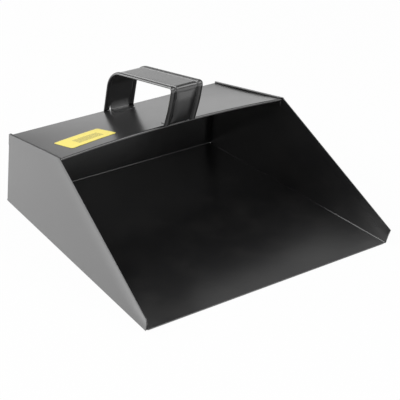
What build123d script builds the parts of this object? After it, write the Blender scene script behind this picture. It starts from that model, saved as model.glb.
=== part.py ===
from build123d import *
import os
from math import atan2, cos, radians, sin, tan

# Hooded dustpan, folded and spot-welded from painted sheet steel.
# Millimetres, +Z up, with the mouth towards -Y. The origin is in the middle of the bottom of the
# object's box, on the surface that the pan rests on.

# Overall sizes, outside
mouth_width = 310.0  # across the sides at the lip
back_width = 288.0  # across the sides at the foot of the back wall
floor_depth = 325.0  # from the lip to the foot of the back wall
nose_height = 17.8  # the short front edge of a side
nose_reach = 4.4  # how far the top of that edge stands ahead of the lip
mouth_setback = 179.2  # from the lip back to the hood's front edge
rim_front_height = 113.0  # top of a side at the mouth
rim_back_height = 91.0  # top of a side at the back wall
back_lean = 16.5  # how far the back wall comes forward, up to the rim
side_lean = 2.1  # how far a side comes inward, up to the rim at the back wall

# Sheet, folds and seams
sheet = 0.6
seam_gap = 0.1  # between two sheets that lie on each other
bend_room = 0.5  # left beside the inside of a bend
lip_hem = 10.0  # the floor's lip, folded under
mouth_hem = 9.0  # the sides' sloped front edge, folded inward
rim_hem = 12.0  # the sides' top edge, folded inward
floor_flange = 14.0  # under the floor
rear_flange = 12.0  # behind the back wall
corner_relief = 2.0  # notch where two flanges would meet

# Hood
rim_rise = 1.5  # the rims stand this far above the hood's sides
front_crown = 6.0  # rise of the hood's front edge in the middle
back_crown = 0.3  # rise of its back edge in the middle
hood_side_flange = 9.0
hood_rear_flange = 10.0
curl_radius = 1.6  # outside of the rolled front edge
curl_bore = 0.5  # radius of the hollow in the roll
curl_proud = 0.1  # the roll stands this far above the hood

# Handle
handle_width = 40.9
strap_sheet = 0.9
bead_width = 6.0  # the flattened rolls along the strap's edges
bead_height = 3.2
bead_rise = 0.15  # the rolls' middle, outside the strap's inner face
bead_bite = 0.5  # how far the strap runs into the rolls
foot_notch = 1.8  # cut between a foot and the rolls beside it
foot_length = 21.0
foot_corner = 5.0
front_leg_height = 48.9  # from a foot's face up to the grip's underside
rear_leg_height = 53.7
front_belly_height = 24.9  # from a foot's face up to where the front leg bows out
front_leg_lean = 21.9  # degrees forward of upright, below the belly
front_top_lean = 15.2  # above the belly
rear_leg_lean = 16.2
front_leg_lead = 4.2  # inner face of the front leg, ahead of the hood's front edge
rear_leg_inset = 2.5  # inner face of the rear leg, ahead of the hood's back edge
front_belly_bend = 160.0  # inside radius, as are the next four
front_bend = 2.2
rear_bend = 34.4
front_foot_bend = 6.0
rear_foot_bend = 2.5

# Label
label_length = 58.0
label_width = 38.0
label_corner = 3.0
label_turn = 5.0  # degrees
label_inset = 52.0  # its middle, in from the left side
label_setback = 41.0  # its middle, behind the hood's front edge
label_thickness = 0.15

# Slopes and places that follow from those sizes
box_depth = floor_depth + nose_reach
lip_y = nose_reach - box_depth / 2
back_y = box_depth / 2
taper_slope = (mouth_width - back_width) / 2 / floor_depth
lean_slope = side_lean / rim_back_height
back_slope = back_lean / rim_back_height


def half_width(y, z):
    """Half the width outside the sides, at a place along the pan and a height."""
    return mouth_width / 2 - taper_slope * (y - lip_y) - lean_slope * z


def back_face(z):
    """Place along the pan of the outside of the back, at a height."""
    return back_y - back_slope * z


floor_level = sheet + seam_gap
wall_stack = 2 * (sheet + seam_gap)  # the flanges behind the back wall, and the wall
hem_stack = 2 * sheet + seam_gap  # a side, its folded edge and the gap inside it
hood_front_y = lip_y + mouth_setback
curl_y = hood_front_y + curl_radius
hood_front_height = rim_front_height - rim_rise
hood_back_height = rim_back_height - rim_rise
hood_back_y = back_face(hood_back_height)
rim_back_y = back_face(rim_back_height)
side_slope = (hood_front_height - hood_back_height) / (hood_back_y - curl_y)
middle_slope = side_slope + (front_crown - back_crown) / (hood_back_y - curl_y)

left_plane = Plane(
    origin=(-mouth_width / 2, lip_y, 0), x_dir=(taper_slope, 1, 0), z_dir=(1, -taper_slope, -lean_slope)
)
rear_plane = Plane(origin=(0, back_y, 0), x_dir=(1, 0, 0), z_dir=(0, -1, -back_slope))


def on_left(y, z):
    """A point of the left side's outer face, in the directions of its plane."""
    return left_plane.to_local_coords(Vector(-half_width(y, z), y, z))


def on_rear(x, z):
    """A point of the outside of the back, in the directions of its plane."""
    return rear_plane.to_local_coords(Vector(x, back_face(z), z))


def polygon(plane, *points):
    """A straight-sided face on a plane."""
    with BuildSketch(plane) as face:
        with BuildLine():
            Polyline(*points, close=True)
        make_face()
    return face.sketch


def edge_strip(plane, start, end, width):
    """A strip of a width along an edge, on the edge's right as it runs from start to end."""
    across = (end - start).normalized().rotate(Axis.Z, -90) * width
    return polygon(plane, start, end, end + across, start + across)


def hood_section(y, height, crown, low, high):
    """Upright section of a layer over the hood, from low to high, arched between the rims."""
    half = half_width(y, height) - hem_stack
    with BuildSketch(Plane.XZ.offset(-y)) as section:
        with BuildLine():
            top = ThreePointArc((-half, height + high), (0, height + high + crown), (half, height + high))
            bottom = ThreePointArc((-half, height + low), (0, height + low + crown), (half, height + low))
            Line(top @ 0, bottom @ 0)
            Line(top @ 1, bottom @ 1)
        make_face()
    return section.sketch


def hood_layer(low, high):
    """The back and front sections of a layer over the hood, measured from its upper face."""
    back = hood_section(hood_back_y, hood_back_height, back_crown, low, high)
    front = hood_section(curl_y, hood_front_height, front_crown, low, high)
    return [back, front]


# Floor: a tapered plate with its lip folded under
floor_side_room = sheet + bend_room
floor_back_y = back_y - wall_stack - bend_room
lip_half = half_width(lip_y, 0) - floor_side_room
tail_half = half_width(floor_back_y, 0) - floor_side_room
with BuildPart() as floor_sheet:
    floor_outline = polygon(
        Plane.XY.offset(floor_level),
        (-lip_half, lip_y),
        (lip_half, lip_y),
        (tail_half, floor_back_y),
        (-tail_half, floor_back_y),
    )
    extrude(floor_outline, amount=sheet)
    hem_outline = polygon(
        Plane.XY,
        (-lip_half, lip_y),
        (lip_half, lip_y),
        (lip_half - lip_hem, lip_y + lip_hem),
        (lip_hem - lip_half, lip_y + lip_hem),
    )
    extrude(hem_outline, amount=floor_level)
    fillet(floor_sheet.edges().filter_by(Axis.X).group_by(Axis.Y)[0], radius=sheet)
floor_sheet.part.label = "floor_sheet"

# Back wall: a leaning sheet with a flange turned forward under the floor
wall_inset = sheet + seam_gap
wall_top = hood_back_height - sheet - seam_gap
wall_foot_half = half_width(back_y, 0) - wall_inset
wall_top_half = half_width(back_face(wall_top), wall_top) - wall_inset
flange_root_y = back_y - wall_inset - sheet / 2
with BuildPart() as back_panel:
    wall_outline = polygon(
        rear_plane.offset(wall_inset),
        on_rear(-wall_foot_half, 0),
        on_rear(wall_foot_half, 0),
        on_rear(wall_top_half, wall_top),
        on_rear(-wall_top_half, wall_top),
    )
    extrude(wall_outline, amount=sheet)
    split(bisect_by=Plane.XY, keep=Keep.TOP)
    flange_outline = polygon(
        Plane.XY,
        (-wall_foot_half, flange_root_y),
        (wall_foot_half, flange_root_y),
        (wall_foot_half - floor_flange, flange_root_y - floor_flange),
        (floor_flange - wall_foot_half, flange_root_y - floor_flange),
    )
    extrude(flange_outline, amount=sheet)
back_panel.part.label = "back_panel"

# Left side: a flat sheet, folded inward along the mouth and the rim, with a flange under the
# floor and one behind the back wall
nose = on_left(lip_y - nose_reach, nose_height)
rim_front = on_left(hood_front_y, rim_front_height)
rim_back = on_left(rim_back_y, rim_back_height)
rim_fold_end = rim_back + (rim_front - rim_back).normalized() * (wall_stack + corner_relief)
under_start_x = -half_width(lip_y, 0)
under_end_y = back_y - corner_relief
under_end_x = -half_width(under_end_y, 0)
behind_low = corner_relief + sheet
behind_high = hood_back_height - hood_rear_flange - corner_relief
with BuildPart() as left_side_panel:
    side_outline = polygon(left_plane, on_left(lip_y, 0), on_left(back_y, 0), rim_back, rim_front, nose)
    extrude(side_outline, amount=sheet)
    fold_plane = left_plane.offset(sheet)
    extrude(edge_strip(fold_plane, nose, rim_front, mouth_hem), amount=sheet)
    extrude(edge_strip(fold_plane, rim_front, rim_fold_end, rim_hem), amount=sheet)
    under_outline = polygon(
        Plane.XY,
        (under_start_x, lip_y),
        (under_end_x, under_end_y),
        (under_end_x + floor_flange, under_end_y - floor_flange),
        (under_start_x + floor_flange, lip_y + floor_flange),
    )
    extrude(under_outline, amount=sheet)
    behind_outline = polygon(
        rear_plane,
        on_rear(-half_width(back_face(behind_low), behind_low), behind_low),
        on_rear(rear_flange - half_width(back_face(behind_low), behind_low), behind_low + rear_flange),
        on_rear(rear_flange - half_width(back_face(behind_high), behind_high), behind_high - rear_flange),
        on_rear(-half_width(back_face(behind_high), behind_high), behind_high),
    )
    extrude(behind_outline, amount=sheet)
    split(bisect_by=Plane.XY, keep=Keep.TOP)
left_side_panel.part.label = "left_side_panel"

# Right side: the left one's mirror image
with BuildPart() as right_side_panel:
    mirror(left_side_panel.part, about=Plane.YZ)
right_side_panel.part.label = "right_side_panel"

# Hood: a sheet arched at the mouth, with its front edge rolled under, its sides turned down
# inside the rims and its back turned down behind the back wall
with BuildLine(Plane.XZ.offset(-curl_y)) as curl_path:
    curl_half = half_width(curl_y, hood_front_height) - hem_stack - seam_gap
    curl_height = hood_front_height + curl_proud - curl_radius
    ThreePointArc((-curl_half, curl_height), (0, curl_height + front_crown), (curl_half, curl_height))
flange_front_y = curl_y + curl_radius
flange_back_y = hood_back_y - wall_stack - bend_room
hood_flange_foot = hood_back_height - hood_rear_flange
rear_half = half_width(hood_back_y, hood_back_height) - hem_stack
with BuildPart() as hood_sheet:
    side_flange = edge_strip(
        left_plane.offset(hem_stack),
        on_left(flange_front_y, hood_back_height + side_slope * (hood_back_y - flange_front_y)),
        on_left(flange_back_y, hood_back_height + side_slope * (hood_back_y - flange_back_y)),
        hood_side_flange,
    )
    extrude(side_flange, amount=sheet)
    mirror(about=Plane.YZ)
    loft(hood_layer(-sheet, 0), ruled=True)
    back_flange = polygon(
        rear_plane,
        on_rear(-rear_half, hood_flange_foot),
        on_rear(rear_half, hood_flange_foot),
        on_rear(rear_half, hood_back_height),
        on_rear(-rear_half, hood_back_height),
    )
    extrude(back_flange, amount=sheet)
    with BuildSketch(Plane(curl_path.line @ 0, z_dir=curl_path.line % 0)):
        Circle(curl_radius)
        Circle(curl_bore, mode=Mode.SUBTRACT)
    sweep(path=curl_path.line)
hood_sheet.part.label = "hood_sheet"

# Handle: a strap bent into a bow, with a flattened roll along each edge and its middle turned in
# at both ends as feet that lie on the hood
hood_pitch = atan2(middle_slope, 1)
foot_gap = curl_proud + seam_gap
foot_rise = (foot_gap + strap_sheet) / cos(hood_pitch)


def foot_face(y):
    """A point of a foot's upper face, above the middle of the hood."""
    return Vector(y, hood_back_height + back_crown + middle_slope * (hood_back_y - y) + foot_rise)


def leg_point(base, lean, height):
    """A point of a leg that leans forward from its base, at a height above the base."""
    return base + Vector(-height * tan(radians(lean)), height)


def moved_out(points, amount):
    """The corners of a clockwise run of straight lines, once each line has moved outward."""
    outward = [(end - start).normalized().rotate(Axis.Z, 90) for start, end in zip(points, points[1:])]
    before = [outward[0], *outward]
    after = [*outward, outward[-1]]
    return [p + (m + n) * (amount / (1 + m.dot(n))) for p, m, n in zip(points, before, after)]


def bend_arc(before, corner, after, radius):
    """Start, middle and end of the arc that rounds a corner."""
    back, on = (before - corner).normalized(), (after - corner).normalized()
    half = radians(back.get_angle(on)) / 2
    inward = (back + on).normalized()
    reach = radius / tan(half)
    return corner + back * reach, corner + inward * (radius / sin(half) - radius), corner + on * reach


def bow_line(points, bends, amount):
    """Draws the line round the strap at a distance outside its inner face, rounded at the bends."""
    corners = moved_out(points, amount)
    arcs = [bend_arc(*corners[i : i + 3], bend + amount) for i, bend in enumerate(bends)]
    starts = [corners[0], *(end for _, _, end in arcs)]
    ends = [*(start for start, _, _ in arcs), corners[-1]]
    for start, end in zip(starts, ends):
        Line(start, end)
    for arc in arcs:
        ThreePointArc(*arc)


def strap_section(x, points, bends):
    """Section of the strap's sheet along its inner face's corners, at a place across the handle."""
    outer = moved_out(points, strap_sheet)
    with BuildSketch(Plane.YZ.offset(x)) as section:
        with BuildLine():
            bow_line(points, bends, 0)
            bow_line(points, bends, strap_sheet)
            Line(points[0], outer[0])
            Line(points[-1], outer[-1])
        make_face()
    return section.sketch


front_base = foot_face(hood_front_y - front_leg_lead)
rear_base = foot_face(hood_back_y - rear_leg_inset)
front_belly = leg_point(front_base, front_leg_lean, front_belly_height)
front_top = leg_point(front_belly, front_top_lean, front_leg_height - front_belly_height)
rear_top = leg_point(rear_base, rear_leg_lean, rear_leg_height)
front_toe = foot_face(front_base.X + foot_length)
rear_toe = foot_face(rear_base.X - foot_length)
bead_overrun = 2 * bead_height  # past the hood's face, where the rolls are then cut
front_end = leg_point(front_base, front_leg_lean, -bead_overrun)
rear_end = leg_point(rear_base, rear_leg_lean, -bead_overrun)
bead_side = (handle_width - bead_width) / 2
foot_half = bead_side - bead_width / 2 - foot_notch
seat_plane = Plane(
    origin=(0, hood_back_y, hood_back_height + back_crown), x_dir=(1, 0, 0), z_dir=(0, middle_slope, 1)
).offset(foot_gap)

bead_corners = [front_end, front_belly, front_top, rear_top, rear_end]
bead_bends = [front_belly_bend, front_bend, rear_bend]
with BuildLine() as bead_curve:
    bow_line(bead_corners, bead_bends, bead_rise)
bead_path = Plane.YZ.offset(bead_side) * bead_curve.wire()
with BuildPart() as bead_edges:
    extrude(strap_section(foot_half, bead_corners, bead_bends), amount=foot_notch + bead_bite)
    with BuildSketch(Plane(bead_path @ 0, x_dir=(1, 0, 0), z_dir=bead_path % 0)):
        Ellipse(bead_width / 2, bead_height / 2)
        Ellipse(bead_width / 2 - strap_sheet, bead_height / 2 - strap_sheet, mode=Mode.SUBTRACT)
    sweep(path=bead_path)
    split(bisect_by=seat_plane, keep=Keep.TOP)
    mirror(about=Plane.YZ)

strap_corners = [front_toe, front_base, front_belly, front_top, rear_top, rear_base, rear_toe]
strap_bends = [front_foot_bend, front_belly_bend, front_bend, rear_bend, rear_foot_bend]
with BuildPart() as handle_strap:
    extrude(strap_section(0, strap_corners, strap_bends), amount=foot_half, both=True)
    toe_corners = handle_strap.edges().filter_by(lambda edge: edge.length < strap_sheet + seam_gap)
    fillet(toe_corners, radius=foot_corner)
    add(bead_edges.part)
handle_strap.part.label = "handle_strap"

# Label: a thin sticker that follows the hood
label_y = hood_front_y + label_setback
label_x = label_inset - half_width(label_y, hood_front_height)
label_reach = rim_front_height + front_crown  # higher than any point of the hood
with BuildPart() as label:
    loft(hood_layer(seam_gap, seam_gap + label_thickness), ruled=True)
    with BuildSketch(Plane((label_x, label_y, 0)).rotated((0, 0, label_turn))):
        RectangleRounded(label_length, label_width, label_corner)
    extrude(amount=label_reach, mode=Mode.INTERSECT)
label.part.label = "label"

os.makedirs("parts", exist_ok=True)
for piece in (floor_sheet, back_panel, left_side_panel, right_side_panel, hood_sheet, handle_strap, label):
    export_step(piece.part, f"parts/{piece.part.label}.step")
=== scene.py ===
"""Looks of a hooded dustpan, folded from black painted steel sheet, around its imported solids.

Lengths are millimetres in the solids' own frame (+Z up, the mouth towards -Y) until a mesh is
written, which is in metres.
"""

import logging
import math
from abc import ABC, abstractmethod
from dataclasses import dataclass, field
from enum import Enum
from typing import Any

import bpy
import numpy as np
from mathutils import Matrix, Vector


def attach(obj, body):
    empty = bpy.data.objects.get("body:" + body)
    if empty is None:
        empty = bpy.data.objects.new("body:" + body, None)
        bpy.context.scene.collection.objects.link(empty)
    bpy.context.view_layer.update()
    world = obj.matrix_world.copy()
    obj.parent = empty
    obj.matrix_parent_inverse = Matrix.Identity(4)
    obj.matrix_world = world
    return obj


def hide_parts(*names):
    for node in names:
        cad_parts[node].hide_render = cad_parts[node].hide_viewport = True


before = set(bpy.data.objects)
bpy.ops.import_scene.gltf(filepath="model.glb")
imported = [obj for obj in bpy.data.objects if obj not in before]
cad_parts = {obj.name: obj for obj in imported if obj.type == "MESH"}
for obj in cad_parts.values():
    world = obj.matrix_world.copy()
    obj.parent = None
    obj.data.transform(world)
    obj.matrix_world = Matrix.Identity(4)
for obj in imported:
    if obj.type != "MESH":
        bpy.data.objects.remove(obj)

Array = np.ndarray
Colour = tuple[float, float, float]
Material, Object = bpy.types.Material, bpy.types.Object
Node, Socket, Tree = bpy.types.Node, bpy.types.NodeSocket, bpy.types.NodeTree
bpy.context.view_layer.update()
METRES = 0.001
GUARD = 0.25  # width of the narrow row beside a bend, which keeps a flat face flat in the light
CREASE = math.radians(20.0)  # an edge that turns further than this stays sharp in the light
CLOSE = 0.01  # how near to a line a point counts as on it
RIGHT, BACK, UP = np.eye(3)  # across the pan, away from its mouth, and up
log = logging.getLogger("dustpan")


class Side(Enum):
    """Which side of the pan a piece is on."""

    LEFT = "left"
    RIGHT = "right"


class Foot(Enum):
    """A foot of the handle, with the way that its toe points along the pan."""

    FRONT = 1.0
    REAR = -1.0


def unit(vector: Array) -> Array:
    """The vectors along the last axis, at length one."""
    return vector / np.linalg.norm(vector, axis=-1, keepdims=True)


def joined(*parts: Any) -> Array:
    """Points from their parts, which are broadcast together."""
    return np.stack(np.broadcast_arrays(*parts), -1)


def guarded(start: float, end: float, count: int, guard: float = GUARD) -> Array:
    """Places from start to end: evenly spaced, with one narrow step added at either end.

    Args:
        start: First place.
        end: Last place.
        count: How many even places lie between the two narrow steps.
        guard: Width of a narrow step.

    Returns:
        The places, in order.
    """
    step = math.copysign(min(guard, abs(end - start) / 4), end - start)
    return np.concatenate([[start], np.linspace(start + step, end - step, count), [end]])


def straight(start: Array, end: Array, count: int) -> Array:
    """Points on the lines from one set of points to another, with a narrow step at either end.

    The narrow steps have their full width on the longest line.

    Args:
        start: Where the lines start, (..., n).
        end: Where they end.
        count: How many even places lie between the two narrow steps.

    Returns:
        Points, (count + 2, ..., n).
    """
    way = end - start
    share = guarded(0.0, 1.0, count, GUARD / float(np.linalg.norm(way, axis=-1).max()))
    return start + way * share.reshape(-1, *[1] * way.ndim)


def turned(first: Array, last: Array, whole: Any, share: Array) -> Array:
    """Vectors that turn evenly from one to another, at shares of the whole angle between them."""
    return (np.sin((1.0 - share) * whole) * first + np.sin(share * whole) * last) / np.sin(whole)


def bend(radius: float, angle: float, leg: float, steps: int = 10) -> Array:
    """Profile of a sheet's outer face round one bend: an arc, then a straight leg along its end.

    A point of the arc at angle t is radius times (sin t, 1 - cos t); the leg goes on along
    (cos, sin) of the whole angle.

    Args:
        radius: Outside radius.
        angle: How far the sheet turns, in radians.
        leg: Length of the straight part.
        steps: Parts of the arc.

    Returns:
        Points as (reach, depth), from the start of the arc.
    """
    turn = np.linspace(0.0, angle, steps + 1)
    arc = radius * joined(np.sin(turn), 1.0 - np.cos(turn))
    run = guarded(0.0, leg, count=3)[1:, None] * np.array([math.cos(angle), math.sin(angle)])
    return np.concatenate([arc, arc[-1] + run])


@dataclass(frozen=True)
class Hem:
    """An edge folded flat on itself: a soft roll, a half turn and a leg back along the sheet.

    Attributes:
        roll: Width over which the outer face starts to turn in.
        fall: How far it has turned in at the end of the roll.
        stack: Thickness of the finished hem.
        leg: Length of the part that is folded back.
        roll_steps: Parts of the roll.
        turn_steps: Parts of the half turn.
    """

    roll: float
    fall: float
    stack: float
    leg: float
    roll_steps: int = 6
    turn_steps: int = 14

    @property
    def slope(self) -> float:
        """Angle of the outer face at the end of the roll."""
        return math.atan2(2.0 * self.fall, self.roll)

    @property
    def radius(self) -> float:
        """Outside radius of the half turn."""
        return (self.stack - self.fall) / (1.0 + math.cos(self.slope))

    @property
    def reach(self) -> float:
        """Width from the start of the roll to the outermost line of the hem."""
        return self.roll + self.radius * (1.0 - math.sin(self.slope))

    def profile(self) -> Array:
        """The outer face as (reach, depth): a parabola, an arc to half a turn and the straight leg.

        Returns:
            Points from the start of the roll to the end of the leg.
        """
        run = np.linspace(0.0, self.roll, self.roll_steps + 1)
        roll = joined(run, self.fall * (run / self.roll) ** 2)
        turn = np.linspace(self.slope, math.pi, self.turn_steps + 1)[1:]
        middle = roll[-1] + self.radius * np.array([-math.sin(self.slope), math.cos(self.slope)])
        arc = middle + self.radius * joined(np.sin(turn), -np.cos(turn))
        leg = guarded(0.0, self.leg, count=4)[1:, None] * np.array([-1.0, 0.0])
        return np.concatenate([roll, arc, arc[-1] + leg])


@dataclass(frozen=True)
class Patch:
    """A grid of points that becomes quads.

    Attributes:
        points: Rows by columns by three.
        facing: Rough direction that the first quad of the middle row faces.
    """

    points: Array
    facing: Array

    def mirrored(self) -> "Patch":
        """The same grid on the other side of the pan."""
        flip = np.array([-1.0, 1.0, 1.0])
        return Patch(self.points * flip, self.facing * flip)

    def quads(self, first: int) -> Array:
        """Corner numbers of the quads, wound to face the way asked.

        Args:
            first: Number of the grid's first point.

        Returns:
            One row of four numbers per quad.
        """
        rows, columns = self.points.shape[:2]
        index = first + np.arange(rows * columns).reshape(rows, columns)
        corners = [index[:-1, :-1], index[1:, :-1], index[1:, 1:], index[:-1, 1:]]
        quads = joined(*corners).reshape(-1, 4)
        row = (rows - 1) // 2
        here = self.points[row, 0]
        normal = np.cross(self.points[row + 1, 0] - here, self.points[row, 1] - here)
        return quads if normal @ self.facing > 0.0 else quads[:, ::-1]


def carry(
    path: Array,
    profile: Array,
    out: Array,
    inward: Array,
    start: tuple[float, float] = (0.0, 0.0),
    end: tuple[float, float] = (0.0, 0.0),
) -> Patch:
    """A profile carried along a path: path point + reach * out + depth * inward, with slanted ends.

    At each end of the path the points also shift along it by reach times the first slant plus depth
    times the second, and the shift fades evenly to the other end.

    Args:
        path: The line that the profile starts on, one point per row.
        profile: Points as (reach, depth).
        out: Direction of reach.
        inward: Direction of depth.
        start: Slants at the path's first point.
        end: Slants at its last point.

    Returns:
        The grid, with one row per path point, facing away from the depth.
    """
    along = unit(path[-1] - path[0])
    share = (path - path[0]) @ along / np.linalg.norm(path[-1] - path[0])
    shift = np.outer(1.0 - share, profile @ np.array(start))
    shift += np.outer(share, profile @ np.array(end))
    points = path[:, None] + profile[:, :1] * out + profile[:, 1:] * inward
    return Patch(points + shift[..., None] * along, -inward)


def fillet(corner: Array, first: Array, second: Array, radius: float, steps: int) -> Array:
    """Points of the arc of a radius that touches two lines from a corner.

    Its middle lies on the lines' bisector, at radius / sin of half their angle, and its points turn
    evenly from the foot on the first line to the foot on the second.

    Args:
        corner: Where the lines meet, (..., 2).
        first: Direction of the first line from the corner, (..., 2).
        second: Direction of the second line.
        radius: Radius of the arc.
        steps: Parts of the arc.

    Returns:
        Points, (..., steps + 1, 2).
    """
    corner, first, second = np.broadcast_arrays(corner, unit(first), unit(second))
    half = np.arccos(np.clip((first * second).sum(-1, keepdims=True), -1.0, 1.0)) / 2.0
    middle = corner + unit(first + second) * radius / np.sin(half)
    foot = radius / np.tan(half)
    a = corner + first * foot - middle
    b = corner + second * foot - middle
    whole = (math.pi - 2.0 * half)[..., None, :]
    share = np.linspace(0.0, 1.0, steps + 1)[:, None]
    return middle[..., None, :] + turned(a[..., None, :], b[..., None, :], whole, share)


@dataclass(frozen=True)
class SlopedRim:
    """A folded rim whose top slopes outwards, with a rounded outer edge and a rounded crest inside.

    Attributes:
        width: From the outer face to the inner flank.
        reach: Height of the outer edge's corner above the rim's foot.
        rise: How much higher the crest's corner is.
        edge_radius: Rounding of the outer edge.
        crest_radius: Rounding of the crest.
        skirt: How far the inner flank goes on below the rim's foot.
    """

    width: float
    reach: float
    rise: float
    edge_radius: float
    crest_radius: float
    skirt: float

    def profile(self) -> Array:
        """The outer face as (reach, depth): up, round the edge, up the slope, over the crest, down.

        Returns:
            Points from the rim's foot on the side to the end of the inner flank.
        """
        foot = np.zeros(2)
        edge = np.array([self.reach, 0.0])
        crest = np.array([self.reach + self.rise, self.width])
        end = np.array([-self.skirt, self.width])
        outer = fillet(edge, foot - edge, crest - edge, self.edge_radius, steps=8)
        inner = fillet(crest, edge - crest, end - crest, self.crest_radius, steps=12)
        return np.concatenate([[foot], outer, inner, [end]])


def bend_angle(out: Array, inward: Array, target: Array) -> float:
    """How far a sheet turns from one plane to lie in another.

    Args:
        out: In the sheet, square to the bend, away from it.
        inward: Into the bend, square to the sheet.
        target: Normal of the plane that the leg lies in.

    Returns:
        The angle, in radians.
    """
    across = float(out @ target)
    return math.atan2(abs(across), -float(inward @ target) * math.copysign(1.0, across))


@dataclass(frozen=True)
class Line:
    """A line in a flat panel.

    Attributes:
        point: A point of it.
        along: Its direction, at length one. The panel lies on its left.
    """

    point: Array
    along: Array

    @classmethod
    def through(cls, start: Array, end: Array) -> "Line":
        """The line from one point to another."""
        return cls(start, unit(end - start))

    def inset(self, distance: float) -> "Line":
        """The line beside it, a distance into the panel."""
        return Line(self.point + distance * np.array([-self.along[1], self.along[0]]), self.along)

    def meet(self, other: "Line") -> Array:
        """Where it crosses another line."""
        share = np.linalg.solve(np.stack([self.along, -other.along], 1), other.point - self.point)
        return self.point + share[0] * self.along


def weld(patches: list[Patch]) -> tuple[Array, list[list[int]]]:
    """Joins grids into one mesh: equal points become one, and quads that lose a corner triangles.

    Args:
        patches: The grids.

    Returns:
        Points in millimetres, and faces as lists of point numbers.
    """
    counts = [patch.points.shape[0] * patch.points.shape[1] for patch in patches]
    firsts = np.concatenate([[0], np.cumsum(counts)[:-1]])
    points = np.concatenate([patch.points.reshape(-1, 3) for patch in patches])
    quads = np.concatenate([patch.quads(int(first)) for patch, first in zip(patches, firsts)])
    rounded = np.round(points, decimals=4)
    _, kept, place = np.unique(rounded, axis=0, return_index=True, return_inverse=True)
    quads = place.reshape(-1)[quads]
    same = quads == np.roll(quads, -1, 1)
    whole = quads[same.sum(1) == 0]
    short = same.sum(1) == 1
    triangles = quads[short][~same[short]].reshape(-1, 3)
    return points[kept], whole.tolist() + triangles.tolist()


@dataclass
class PanSizes:
    """Sizes that several pieces share, as in the solids."""

    mouth_width: float = 310.0
    back_width: float = 288.0
    floor_depth: float = 325.0
    nose_height: float = 17.8
    nose_reach: float = 4.4
    mouth_setback: float = 179.2
    rim_front: float = 113.0
    rim_back: float = 91.0
    back_lean: float = 16.5
    side_lean: float = 2.1
    sheet: float = 0.6
    seam: float = 0.1
    bend_room: float = 0.5
    fold_radius: float = 1.1
    flange: float = 14.0
    rim_rise: float = 1.5
    front_crown: float = 6.0
    back_crown: float = 0.3
    curl_radius: float = 1.6
    curl_proud: float = 0.1
    edge_sag: float = 0.9

    def __post_init__(self) -> None:
        """Works out the places, slopes and heights that follow from the sizes."""
        self.back_y = (self.floor_depth + self.nose_reach) / 2.0  # foot of the back
        self.lip_y = self.nose_reach - self.back_y
        # How fast a side comes in along the pan and with height, and the back with height
        self.taper = (self.mouth_width - self.back_width) / 2.0 / self.floor_depth
        self.lean = self.side_lean / self.rim_back
        self.back_slope = self.back_lean / self.rim_back
        self.layer = self.sheet + self.seam
        self.hem_stack = 2.0 * self.sheet + self.seam
        self.hood_front_y = self.lip_y + self.mouth_setback
        self.curl_y = self.hood_front_y + self.curl_radius  # middle of the hood's rolled edge
        self.hood_front = self.rim_front - self.rim_rise  # heights of the hood's corners
        self.hood_back = self.rim_back - self.rim_rise
        self.hood_back_y = self.back_face(self.hood_back)

    def half_width(self, y: Any, z: Any) -> Any:
        """Half the width outside the sides, at a place along the pan and a height."""
        return self.mouth_width / 2.0 - self.taper * (y - self.lip_y) - self.lean * z

    def back_face(self, z: Any) -> Any:
        """Place of the outside of the back, at a height."""
        return self.back_y - self.back_slope * z

    def hood_height(self, x: Any, y: Any) -> Any:
        """Height of the hood's upper face.

        A parabola across the hood, whose crown and corner heights change evenly from front to back,
        less a sag that grows with the square of the way to the sides and as a half sine along them.

        Args:
            x: Place across the pan.
            y: Place along the pan.

        Returns:
            The height.
        """
        share = (y - self.curl_y) / (self.hood_back_y - self.curl_y)
        corner = self.hood_front + share * (self.hood_back - self.hood_front)
        crown = self.front_crown + share * (self.back_crown - self.front_crown)
        across = (x / (self.half_width(y, corner) - self.hem_stack)) ** 2
        return corner + crown * (1.0 - across) - self.edge_sag * across * np.sin(math.pi * share)


PAN = PanSizes()


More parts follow.
